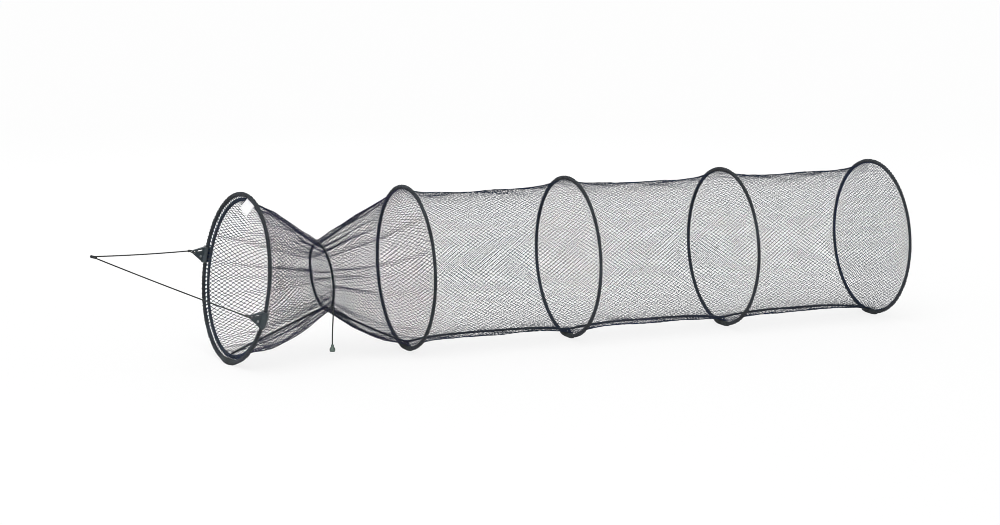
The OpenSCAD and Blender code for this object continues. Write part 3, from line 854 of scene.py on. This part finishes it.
# Mouth: bound hoop, hem cord, the lacing between them and the seam's tie
HEM_ROPE_R = 1.06 * HEM_R
HEM_PITCH = 0.011
TIE_TURN, TIE_SIZE, TIE_R = 0.15, 0.0085, 0.0017
LACE_R = 0.00092
LACE_BOW, LACE_STRAY, LOOP_STRAY = 0.0006, 0.1, 0.24
# How far the lacing's ends sit inside the binding and the hem cord
LACE_SINK, LACE_HEM_SINK = 0.0006, 0.0005


def mouth_parts():
    bound_hoop("mouth", mouth, MOUTH_BIND_R, 21, 22)
    whipping = wound_ring(mouth, MOUTH_FOOT_R, MOUTH_FOOT_PITCH, MOUTH_FOOT_DEPTH, 23, MOUTH_FOOT,
                          swell=lambda s: MOUTH_FOOT_SWELL * (1 - np.abs(2 * s - 1) ** 1.3) ** 1.2)
    make_piece("mouth_whipping", [whipping], WHIPPING, "mouth", ["mouth_sleeve"])
    w = circle(1200)
    hem = rope(mouth.at(HEM_BACK, mouth.r - HEM_IN, w), HEM_ROPE_R, HEM_PITCH, 12, True, (1, 0, 0))
    tie = knot_part(mouth.at(HEM_BACK, mouth.r - HEM_IN, SEAM_START - TIE_TURN), TIE_SIZE, TIE_R)
    make_piece("mouth_hem_rope", [hem, tie], ROPE, "mouth", ["hem_cord"])


mouth_parts()


def hem_mesh():
    """Twine laced back and forth between the bound hoop and the hem cord."""
    count = MESHES_ROUND
    rng = np.random.default_rng(24)
    hem = np.array([HEM_BACK, -HEM_IN])
    start = (MOUTH_BIND_R - LACE_SINK) * unit(hem)
    end = hem - (HEM_R - LACE_HEM_SINK) * unit(hem)
    parts = []
    for side in (0.5, -0.5):
        for i in range(count):
            th = (i + 0.5) * TURN / count
            s = np.linspace(0, 1, 5)
            bow = LACE_BOW * np.sin(math.pi * s) * rng.uniform(-1, 1)
            line = mix(start, end, s[:, None])
            turn = th + (side * (2 * s - 1) + rng.uniform(-LACE_STRAY, LACE_STRAY)) * math.pi / count
            path = mouth.at(line[:, 0] + 0.3 * LASH_R * side, mouth.r + line[:, 1] + bow, turn)
            parts.append(tube(path, LACE_R, 5, False, (1, 0, 0)))
    w = circle(12)
    for i in range(2 * count):
        th = (i + rng.uniform(-LOOP_STRAY, LOOP_STRAY)) * math.pi / count
        size = HEM_ROPE_R + 0.5 * LASH_R
        path = mouth.at(HEM_BACK + size * np.sin(w), mouth.r - HEM_IN + size * np.cos(w),
                        th + rng.uniform(-0.012, 0.012) * np.sin(w))
        parts.append(tube(path, LASH_R, 5, True, mouth.at(0, 1, th + 0.5 * math.pi) - mouth.centre))
    make_piece("mouth_hem_lacing", parts, NET, "mouth", ["hem_lacing"])


hem_mesh()


# Seam ropes along the bottom
SEAM_PITCH, SEAM_DEPTH = 0.010, 0.2
LAST_SEAM_OFF = -0.0012


def seam_rope(name, path, bodies):
    """A stretch of the seam rope, placed as its net is."""
    strand = rope(path, SEAM_R, SEAM_PITCH, across=(0, 1, 0), depth=SEAM_DEPTH)
    piece = make_piece(f"{name}_rope", [strand], ROPE, None, [name])
    follow(piece, bodies)


seam_steps = np.linspace(0, 1, 260)
seam_rope("seam_mouth", mouth_line(seam_steps), ("mouth", "neck"))
seam_rope("seam_throat", throat_line(seam_steps), ("neck", "hoop_1"))
for k in range(3):
    line = Panel(hoops[k], 0.0, hoops[k + 1], 0.0 if k < 2 else LAST_SEAM_OFF,
                 bay_seam_radius if k < 2 else last_seam_radius, BAY_SAG)
    line.waves = []
    seam_rope(f"seam_bay_{k + 1}", line.at(seam_steps, 0 * seam_steps + math.pi),
              (HOOPS[k], HOOPS[k + 1]))


SEAM_STRANDS, SEAM_STRAND_R = 12, 0.00075
STRAND_STEP, STRAND_STRAY = 0.0016, 0.0018


def seam_lashing(name, ring, seed):
    """Strands of the net gathered over the seam rope, down to the hoop on both sides."""
    rng = np.random.default_rng(seed)
    crest = SEAM_HOOP_R - SEAM_R - 0.0006
    foot = ring.r - 0.001
    parts = []
    for k in range(SEAM_STRANDS):
        left, right = np.radians(rng.uniform(3.0, 10.5, 2))
        over = rng.uniform(0.010, 0.016)
        sink = rng.uniform(0.35, 0.75)
        turns = [-left, -mix(over, left, 0.4), -over, over, mix(over, right, 0.4), right]
        slope = mix(crest, ring.r, sink)
        radii = [foot, slope, crest, crest, slope, foot]
        off = rng.uniform(-STRAND_STRAY, STRAND_STRAY, 2)
        route = ring.at(np.linspace(*off, 6), np.array(radii), math.pi + np.array(turns))
        parts.append(tube(resampled(route, STRAND_STEP), SEAM_STRAND_R, 5, False, (1, 0, 0)))
    make_piece(f"{name}_seam_lashing", parts, NET, name)


for k in range(3):
    seam_lashing(HOOPS[k], hoops[k], 91 + k)


# Drawcord, its knot, tail and bead
DRAWCORD_PITCH = 0.011
NECK_KNOT_SIZE, NECK_KNOT_R = 0.0078, 0.0016
CORD_PITCH, CORD_STEP = 0.007, 0.0012
BEAD_SIDES = 40


def neck_parts():
    w = circle(700)
    cord = rope(neck.at(0.0, neck.r, w), DRAWCORD_R, DRAWCORD_PITCH, 12, True, (1, 0, 0))
    make_piece("neck_drawcord", [cord], ROPE, "neck", ["neck_cord"])
    knot = knot_part(np.mean(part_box("neck_knot"), axis=0), NECK_KNOT_SIZE, NECK_KNOT_R)
    make_piece("neck_drawcord_knot", [knot], ROPE, "neck", ["neck_knot"])


neck_parts()


def free_cord(name, route, r, body, slot, node, across=(0, 1, 0), **facts):
    """A laid cord along a route."""
    line = resampled(route, CORD_STEP)
    piece = make_piece(name, [rope(line, r, CORD_PITCH, 10, False, across)],
                       BRIDLE, body, [node])


def bead_piece():
    """Bell-shaped bead: a turned outline with a rounded rim and a dimple below."""
    low, high = (np.array(v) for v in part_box("tail_bead"))
    middle, r, tall = (low + high) / 2, (high - low)[0] / 2, (high - low)[2]
    wide, down = np.array([
        (0.20, 0.0), (0.38, 0.01), (0.50, 0.05), (0.55, 0.12), (0.55, 0.28), (0.60, 0.36), (0.76, 0.44),
        (0.93, 0.54), (1.0, 0.64), (1.0, 0.86), (0.96, 0.94), (0.86, 0.99), (0.72, 1.0), (0.55, 0.965),
        (0.30, 0.95),
    ]).T[..., None]
    w = circle(BEAD_SIDES)
    rings = np.stack([middle[0] + r * wide * np.cos(w), middle[1] + r * wide * np.sin(w),
                      (high[2] - tall * down) + 0 * w], -1)
    faces = [face[::-1] for face in wrap_faces(len(wide), BEAD_SIDES, False)]
    faces += end_faces(len(wide), BEAD_SIDES)
    return make_piece("tail_bell_bead", [(rings, faces)], BEAD, "neck", ["tail_bead"])


free_cord("tail_line", TAIL_ROUTE, TAIL_R, "neck", "cord", "tail_cord", far_end="fitting",
          stiffness="limp", lay="hanging", with_pieces=[bead_piece()])


# Bridle: a loop through each clip's eye, two legs and the knot at the apex
LOOP_PITCH = 0.006
TIE_OUT, TIE_HALF, TIE_COIL_R, TIE_TURNS, TIE_THREAD = 0.001, 0.0030, 0.0017, 4, 0.0010
APEX_KNOT, APEX_COIL_R, APEX_TURNS, APEX_THREAD = (-0.0022, 0.0103), 0.0021, 6, 0.0011
LEG_END, LEG_SAG = 0.0038, 0.006


def eye_of(which):
    """The middle of a clip's eye, from its place on the mouth hoop."""
    th, up = CLIPS[which]
    on_hoop = np.array([0, math.sin(th), math.cos(th)])
    along = np.array([0, math.cos(th), -math.sin(th)])
    p = np.array([-NOSE_AT, 0, 0]) + mouth.r * on_hoop + up * along
    return mouth.centre + turned(p, MOUTH_LEAN, MOUTH_TURN)


eyes = {which: eye_of(which) for which in CLIPS}
hinge = unit(eyes["far"] - eyes["near"])


def whipped_knot(centre, axis, reach, r, turns, thread):
    """Thread coiled close round an axis, from one reach of it to the other."""
    side = unit(np.cross(axis, (0, 0, 1)))
    lift = np.cross(side, axis)
    s = np.linspace(0, 1, 16 * turns)
    w = TURN * turns * s
    coil = centre + mix(reach[0], reach[1], s)[:, None] * axis
    coil = coil + r * (np.cos(w)[:, None] * side + np.sin(w)[:, None] * lift)
    core = centre + np.linspace(reach[0] - 0.0008, reach[1] + 0.0008, 12)[:, None] * axis
    return [tube(coil, thread, 8, False, axis), tube(core, r, 10, False, side)]


def bridle():
    """Loops and knots first, then the two legs."""
    pieces, legs = {}, {}
    for which, eye in eyes.items():
        g = unit(APEX - eye)
        out = unit(g - (g @ hinge) * hinge)
        w = circle(48)
        path = eye + LOOP_R * out + LOOP_R * (np.cos(w)[:, None] * hinge + np.sin(w)[:, None] * out)
        loop = rope(path, BRIDLE_R, LOOP_PITCH, 10, True, np.cross(hinge, out))
        tie = eye + (2 * LOOP_R + TIE_OUT) * out
        ahead = unit(APEX - tie)
        knot = whipped_knot(tie, ahead, (-TIE_HALF, TIE_HALF), TIE_COIL_R, TIE_TURNS, TIE_THREAD)
        pieces[which] = make_piece(f"bridle_{which}_eye_loop", [loop, *knot], BRIDLE, "bridle",
                                   ["bridle_loops"])
        start, end = tie + TIE_HALF * ahead, APEX - LEG_END * ahead
        s = np.linspace(0, 1, 17)
        drop = LEG_SAG * (s * (1 - s))[:, None] * UP
        legs[which] = mix(start, end, s[:, None]) - drop
    back = unit((eyes["near"] + eyes["far"]) / 2 - APEX)
    coil = whipped_knot(APEX, back, APEX_KNOT, APEX_COIL_R, APEX_TURNS, APEX_THREAD)
    knot = make_piece("bridle_apex_knot", coil, ROPE, "bridle", ["bridle_knot"])
    for which, leg in legs.items():
        on_it = [pieces[which], knot] if which == "near" else [pieces[which]]
        free_cord(f"bridle_leg_{which}", leg, BRIDLE_R, "bridle", "cord", "bridle_cord", far_end="knot",
                  stiffness="limp", lay="taut", with_pieces=on_it, across=(0, 0, 1))


bridle()


# Bare cloth label, sewn to the mouth's binding near its top
LABEL_W, LABEL_L, LABEL_T = 0.042, 0.026, 0.0008
LABEL_TURN, LABEL_LEAN = math.radians(15), math.radians(29)
HEM_WIDE, HEM_THICK = 0.0016, 0.00022
STITCH_IN, STITCH_LONG, STITCH_R = 0.0026, 0.0022, 0.00016


def label_piece():
    """A closed cloth with a turned hem, and its rows of stitches."""
    sag = mouth.r - math.sqrt(mouth.r**2 - LABEL_W**2 / 4)

    def place(p):
        """From the label's own frame, with its upper edge at the binding, to the mouth."""
        p = p + np.array([LABEL_T / 2, 0, -MOUTH_BIND_R - 0.0002])
        p = turned(p, LABEL_LEAN, 0) + np.array([0, 0, mouth.r - sag])
        c, s = math.cos(LABEL_TURN), math.sin(LABEL_TURN)
        p = np.stack([p[..., 0], p[..., 1] * c - p[..., 2] * s, p[..., 1] * s + p[..., 2] * c], -1)
        return mouth.centre + turned(p, MOUTH_LEAN, MOUTH_TURN)

    def bend(y, z):
        down = -z / LABEL_L
        return 0.0012 * np.sin(2.2 * y / LABEL_W + 0.6) * down - 0.0016 * down**2 * (y / LABEL_W + 0.2)

    across, down = 41, 23
    below = down * across
    grid = np.arange(below).reshape(down, across)
    y, z = np.meshgrid(np.linspace(-LABEL_W / 2, LABEL_W / 2, across), np.linspace(0, -LABEL_L, down))
    edge = np.minimum(np.minimum(y + LABEL_W / 2, LABEL_W / 2 - y), z + LABEL_L)
    thick = LABEL_T / 2 + HEM_THICK * np.clip(1 - np.abs(edge - HEM_WIDE) / HEM_WIDE, 0, 1)
    faces, points = [], []
    for side in (1, -1):
        x = -LABEL_T / 2 + side * thick + bend(y, z)
        points.append(place(np.stack([x, y, z], -1)))
        a = grid[:-1, :-1] + (0 if side > 0 else below)
        quad = np.stack([a, a + across, a + across + 1, a + 1], -1).reshape(-1, 4)
        faces += (quad if side > 0 else quad[:, ::-1]).tolist()
    rim = np.concatenate([grid[0], grid[1:, -1], grid[-1, -2::-1], grid[-2:0:-1, 0]]).tolist()
    for a, b in zip(rim, rim[1:] + rim[:1]):
        faces.append([a, b, b + below, a + below])
    piece = make_piece("label_tape", [(np.concatenate(points), faces)], CLOTH, "mouth", ["label"])
    stitches = []
    left, right = -LABEL_W / 2 + STITCH_IN, LABEL_W / 2 - STITCH_IN
    top, low = -STITCH_IN, -LABEL_L + STITCH_IN
    rows = [((left, -STITCH_IN * 0.6), (right, -STITCH_IN * 0.6)), ((left, low), (right, low)),
            ((left, top), (left, low)), ((right, top), (right, low))]
    for side in (1, -1):
        for start, end in rows:
            start, end = np.array(start), np.array(end)
            count = round(np.linalg.norm(end - start) / STITCH_LONG)
            for k in range(count):
                s = (k + np.linspace(0.12, 0.82, 5)) / count
                yz = mix(start, end, s[:, None])
                rise = side * (LABEL_T / 2 + 0.0001 + 0.00012 * np.sin(np.linspace(0, math.pi, 5)))
                x = -LABEL_T / 2 + rise + bend(yz[:, 0], yz[:, 1])
                path = place(np.stack([x, yz[:, 0], yz[:, 1]], -1))
                stitches.append(tube(path, STITCH_R, 5, False, (0.3, 0.9, 0.2)))
    make_piece("label_stitching", stitches, STITCH, "mouth")


label_piece()


# CAD pieces whose shape is right get a material
for node, material in (("clip_near", CLIP), ("clip_far", CLIP), ("clip_rivets", STEEL),
                       *((f"{h}_rod", ROD) for h in ("mouth", *HOOPS))):
    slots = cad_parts[node].data.materials
    slots.clear()
    slots.append(material)


# Floor, white surroundings and soft lamps
WHITE = (1, 1, 1, 1)
FLOOR_HALF = 60
FLOOR_GREY, FLOOR_GLOW = 0.86, 0.78
SKY_STRENGTH, SUN_STRENGTH = 0.62, 1.75
SUN_SIZE, SUN_AHEAD = math.radians(50), (0.35, 0.55, -1)
LAMP_SIZE, LAMPS_AT = 1.6, (-0.1, 0, 0.18)
LAMPS = (("fill", (-2.6, -2.4, 1.5), 14), ("back", (0.8, 2.8, 2.0), 12))


def whiter_when_seen(tree, plain, white, share, out):
    """Mixes in a white shader where the floor or the sky is seen, straight or
    as a reflection, and leaves the light that it gives as it is."""
    rays = tree.nodes.new("ShaderNodeLightPath")
    either = tree.nodes.new("ShaderNodeMath")
    either.operation = "MAXIMUM"
    seen = tree.nodes.new("ShaderNodeMath")
    seen.operation = "MULTIPLY"
    seen.inputs[1].default_value = share
    both = tree.nodes.new("ShaderNodeMixShader")
    for a, b in ((rays.outputs["Is Camera Ray"], either.inputs[0]),
                 (rays.outputs["Is Glossy Ray"], either.inputs[1]),
                 (either.outputs[0], seen.inputs[0]), (seen.outputs[0], both.inputs[0]),
                 (plain.outputs[0], both.inputs[1]), (white.outputs[0], both.inputs[2]),
                 (both.outputs[0], out.inputs["Surface"])):
        tree.links.new(a, b)


def make_floor():
    mesh = bpy.data.meshes.new("floor")
    h = FLOOR_HALF
    mesh.from_pydata([(-h, -h, 0), (h, -h, 0), (h, h, 0), (-h, h, 0)], [], [(0, 1, 2, 3)])
    floor = new_object("floor", mesh)
    m = Nodes("floor")
    set_inputs(m.shader, Base_Color=(FLOOR_GREY, FLOOR_GREY, FLOOR_GREY, 1), Roughness=0.9,
               Specular_IOR_Level=0.1)
    glow = m.add("ShaderNodeEmission")
    set_inputs(glow, Color=WHITE)
    whiter_when_seen(m.tree, m.shader, glow, FLOOR_GLOW, m.tree.nodes["Material Output"])
    mesh.materials.append(m.material)


def make_sky():
    world = bpy.data.worlds.new("world")
    bpy.context.scene.world = world
    world.use_nodes = True
    tree = world.node_tree
    sky = tree.nodes["Background"]
    set_inputs(sky, Color=WHITE, Strength=SKY_STRENGTH)
    white = tree.nodes.new("ShaderNodeBackground")
    set_inputs(white, Color=WHITE, Strength=1.0)
    whiter_when_seen(tree, sky, white, 1.0, tree.nodes["World Output"])


def make_lamps():
    data = bpy.data.lights.new("sun", "SUN")
    data.energy, data.angle = SUN_STRENGTH, SUN_SIZE
    sun = new_object("sun", data)
    sun.rotation_euler = Vector(SUN_AHEAD).to_track_quat("-Z", "Y").to_euler()
    for name, place, power in LAMPS:
        data = bpy.data.lights.new(name, "AREA")
        data.shape, data.size, data.energy = "DISK", LAMP_SIZE, power
        lamp = new_object(name, data)
        lamp.location = place
        lamp.rotation_euler = (Vector(LAMPS_AT) - Vector(place)).to_track_quat("-Z", "Y").to_euler()


make_floor()
make_sky()
make_lamps()
bpy.context.scene.view_settings.view_transform = "Standard"
bpy.context.scene.cycles.filter_width = 0.85
